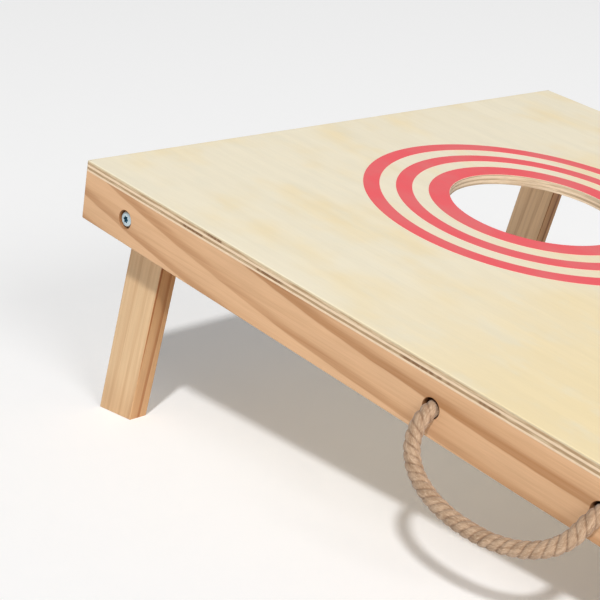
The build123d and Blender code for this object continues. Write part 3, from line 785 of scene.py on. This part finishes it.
def add_fibre(vertices, faces, uvs, spine, u_axis, v_axis, length, random):
    """One loose fibre: a thin three-sided hair that lifts off the rope's surface and curls away."""
    angle = random.uniform(0, 2 * math.pi)
    lift = random.uniform(0.3, 1.6) * MM
    bend = random.uniform(-0.5, 0.5)
    reach = int(random.integers(5, len(spine) + 1))
    start = len(vertices)
    for index in range(reach):
        share = index / (reach - 1)
        turn = angle + bend * share
        outward = math.cos(turn) * u_axis + math.sin(turn) * v_axis
        sideways = -math.sin(turn) * u_axis + math.cos(turn) * v_axis
        centre = spine[index] + outward * (ROPE_RADIUS * 0.86 + lift * share ** 1.5)
        thickness = FIBRE_RADIUS * (1 - 0.8 * share)
        for corner in range(3):
            spoke = 2 * math.pi * corner / 3
            vertices.append(centre + (outward * math.cos(spoke) + sideways * math.sin(spoke)) * thickness)
    for index in range(reach - 1):
        for corner in range(3):
            a = start + index * 3 + corner
            b = start + index * 3 + (corner + 1) % 3
            faces.append((a, b, b + 3, a + 3))
            uvs.extend([(length, 0.37 + angle)] * 4)
    faces.append((start + 2, start + 1, start))
    end = start + (reach - 1) * 3
    faces.append((end, end + 1, end + 2))
    uvs.extend([(length, 0.37 + angle)] * 6)


def jute_material():
    """Twisted jute: tan fibres nearly along the rope, with painted shade between the strands, some pale and some
    brown.
    """
    tree = Tree("jute")
    uv = tree.add("UVMap", uv_map="rope").outputs[0]
    split = tree.add("SeparateXYZ", {0: uv})
    length, around = split.outputs[0], split.outputs[1]
    lays = tree.math("DIVIDE", length, ROPE_LAY)
    twist = tree.math("MULTIPLY", tree.math("SUBTRACT", around, tree.math("MULTIPLY", lays, YARN_LEAN)), 2 * math.pi)
    place = tree.combine(tree.math("COSINE", twist), tree.math("SINE", twist), tree.math("MULTIPLY", lays, 0.9))
    fibre = tree.noise(place, 11.0, 4, 0.65)
    yarn = tree.noise(tree.stretch(place, (1, 1, 0.5)), 5.0, 2, 0.5)
    coarse = tree.noise(place, 1.6, 3, 0.6)
    strand = tree.math("FRACT", tree.math("ADD", tree.math("MULTIPLY", around, float(STRAND_COUNT)), 0.5))
    middle = tree.math("ABSOLUTE", tree.math("SUBTRACT", strand, 0.5))
    # Painted shade in the creases between the strands.
    groove = tree.math("MULTIPLY", tree.level(middle, 0.28, 0.5), tree.level(coarse, 0.3, 0.6, 0.2, 1.0))
    colour = tree.mix(tree.level(coarse, 0.3, 0.7), linear(184, 155, 128), linear(154, 125, 99))
    colour = tree.mix(tree.level(fibre, 0.48, 0.75, 0.0, 0.8), colour, linear(214, 190, 163))
    colour = tree.mix(tree.level(fibre, 0.25, 0.46, 0.75, 0.0), colour, linear(136, 104, 76))
    colour = tree.mix(tree.level(yarn, 0.25, 0.45, 0.45, 0.0), colour, linear(120, 88, 60))
    colour = tree.mix(tree.math("MULTIPLY", groove, 0.55), colour, linear(122, 90, 62))
    relief = tree.math("ADD", tree.math("MULTIPLY", fibre, 0.6), tree.math("MULTIPLY", yarn, 0.9))
    return tree.finish(Base_Color=colour, Roughness=0.85, Normal=tree.bump(relief, 0.5 * MM, 0.9),
                       Specular_IOR_Level=0.2, Sheen_Weight=0.2, Sheen_Roughness=0.5)


# Putting it together

random = np.random.default_rng(SEED)
for index in range(len(PLY_SHARES)):
    ply = deck_ply(index, random)
    paint(ply, ply_material(index))
    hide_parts("deck_panel")
    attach(ply, "frame")

paint(NODES["target_rings"], ink_material())
paint(NODES["left_rail"], rail_material("left_rail", seed=1.0, ring_width=9.2, pith_distance=300.0, pith_angle=21.6,
                                         slant=0.0093, curve=0.000065, phase=0.856, drilled=side_holes("left")))
paint(NODES["right_rail"], rail_material("right_rail", seed=2.0, slant=-0.02, pith_angle=30.0,
                                          drilled=side_holes("right")))
paint(NODES["back_rail"], rail_material("back_rail", seed=3.0, slant=0.015, pith_distance=120.0))
paint(NODES["front_rail"], rail_material("front_rail", seed=4.0, slant=-0.012, pith_distance=90.0, pith_angle=-25.0))
paint(NODES["centre_brace"], rail_material("centre_brace", seed=5.0, slant=0.02, pith_angle=60.0))
paint(NODES["left_leg"], leg_material("left", LEG_LIGHT, 6.0, 0.3))
# The far leg's lighter pine is painted light.
paint(NODES["right_leg"], leg_material("right", FAR_LEG_PAINTED_LIGHT, 7.0, 0.3))
paint(NODES["frame_dowels"], dowel_material())
paint(NODES["deck_screws"], yellow_zinc_material())

zinc, nylon, jute = zinc_material(), nylon_material(), jute_material()
for side, sign in (("left", -1), ("right", 1)):
    paint(NODES[side + "_pivot_bolt"], bolt_material(side))
    for part in ("nut_washer", "lock_nut"):
        paint(NODES[f"{side}_{part}"], zinc)
    for part in ("spacer_washer", "nut_insert"):
        paint(NODES[f"{side}_{part}"], nylon)
    handle = rope(sign, side + "_rope", random)
    paint(handle, jute)
    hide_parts(side + "_rope_loop", side + "_rope_knots")
    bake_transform(handle)


# Floor, light and camera

WORLD_LIGHT = 0.25
WORLD_SEEN = 0.92
# Painted light: besides glowing to the camera, the floor gives off FLOOR_BOUNCE for other rays, lighting the board's
# underside.
FLOOR_GLOW = 0.15
FLOOR_BOUNCE = 0.12


def stage():
    """A pale floor that glows a little, more to the camera, and whose glow for other rays is painted light on the
    board from below; a main light from the left, and a fill from the front.
    """
    bpy.ops.mesh.primitive_plane_add(size=40, location=(0, 0, 0))
    floor = bpy.context.object
    floor.name = "floor"
    tree = Tree("floor")
    place = tree.add("TexCoord").outputs["Object"]
    speckle = tree.noise(place, 40.0, 2, 0.5)
    colour = tree.mix(speckle, (0.86, 0.86, 0.86), (0.88, 0.88, 0.88))
    seen = tree.level(tree.add("LightPath").outputs["Is Camera Ray"], 0.0, 1.0, FLOOR_BOUNCE, FLOOR_GLOW, smooth=False)
    paint(floor, tree.finish(Base_Color=colour, Roughness=0.9, Specular_IOR_Level=0.1,
                             Emission_Color=(1, 1, 1), Emission_Strength=seen))

    world = bpy.data.worlds.new("studio")
    bpy.context.scene.world = world
    world.use_nodes = True
    surroundings = world.node_tree.nodes["Background"]
    seen = world.node_tree.nodes.new("ShaderNodeLightPath").outputs["Is Camera Ray"]
    strength = world.node_tree.nodes.new("ShaderNodeMapRange")
    strength.inputs["To Min"].default_value = WORLD_LIGHT
    strength.inputs["To Max"].default_value = WORLD_SEEN
    world.node_tree.links.new(seen, strength.inputs["Value"])
    world.node_tree.links.new(strength.outputs[0], surroundings.inputs[1])
    surroundings.inputs[0].default_value = (1, 1, 1, 1)
    main = light("main_light", "SUN", Vector((-1.0, -0.95, 1.36)), 5)
    main.energy = 2.2
    main.angle = math.radians(4)
    fill = light("front_fill", "AREA", Vector((-0.3, -1.0, 0.45)), 9)
    fill.energy = 310
    fill.shape = "DISK"
    fill.size = 3.0


def light(name, kind, towards, distance):
    """A light that shines on the board's visible corner from a direction."""
    data = bpy.data.lights.new(name, kind)
    obj = bpy.data.objects.new(name, data)
    bpy.context.scene.collection.objects.link(obj)
    obj.location = CORNER + towards.normalized() * distance
    obj.rotation_euler = towards.to_track_quat("Z", "Y").to_euler()
    return data


def camera():
    """The camera: a long lens, low in front of the board's left side."""
    data = bpy.data.cameras.new("camera")
    data.lens = 88.1
    data.sensor_width = 36.0
    data.clip_start = 0.05
    obj = bpy.data.objects.new("camera", data)
    bpy.context.scene.collection.objects.link(obj)
    heading, look_down, roll = (math.radians(angle) for angle in (44.04, 16.84, 1.06))
    turn = Matrix.Rotation(-heading, 4, "Z") @ Matrix.Rotation(math.pi / 2 - look_down, 4, "X")
    place = Matrix.Translation(CORNER + Vector((-0.6861, -0.9596, 0.2382)))
    obj.matrix_world = place @ turn @ Matrix.Rotation(roll, 4, "Z")
    bpy.context.scene.camera = obj


stage()
camera()
bpy.context.scene.view_settings.view_transform = "Standard"
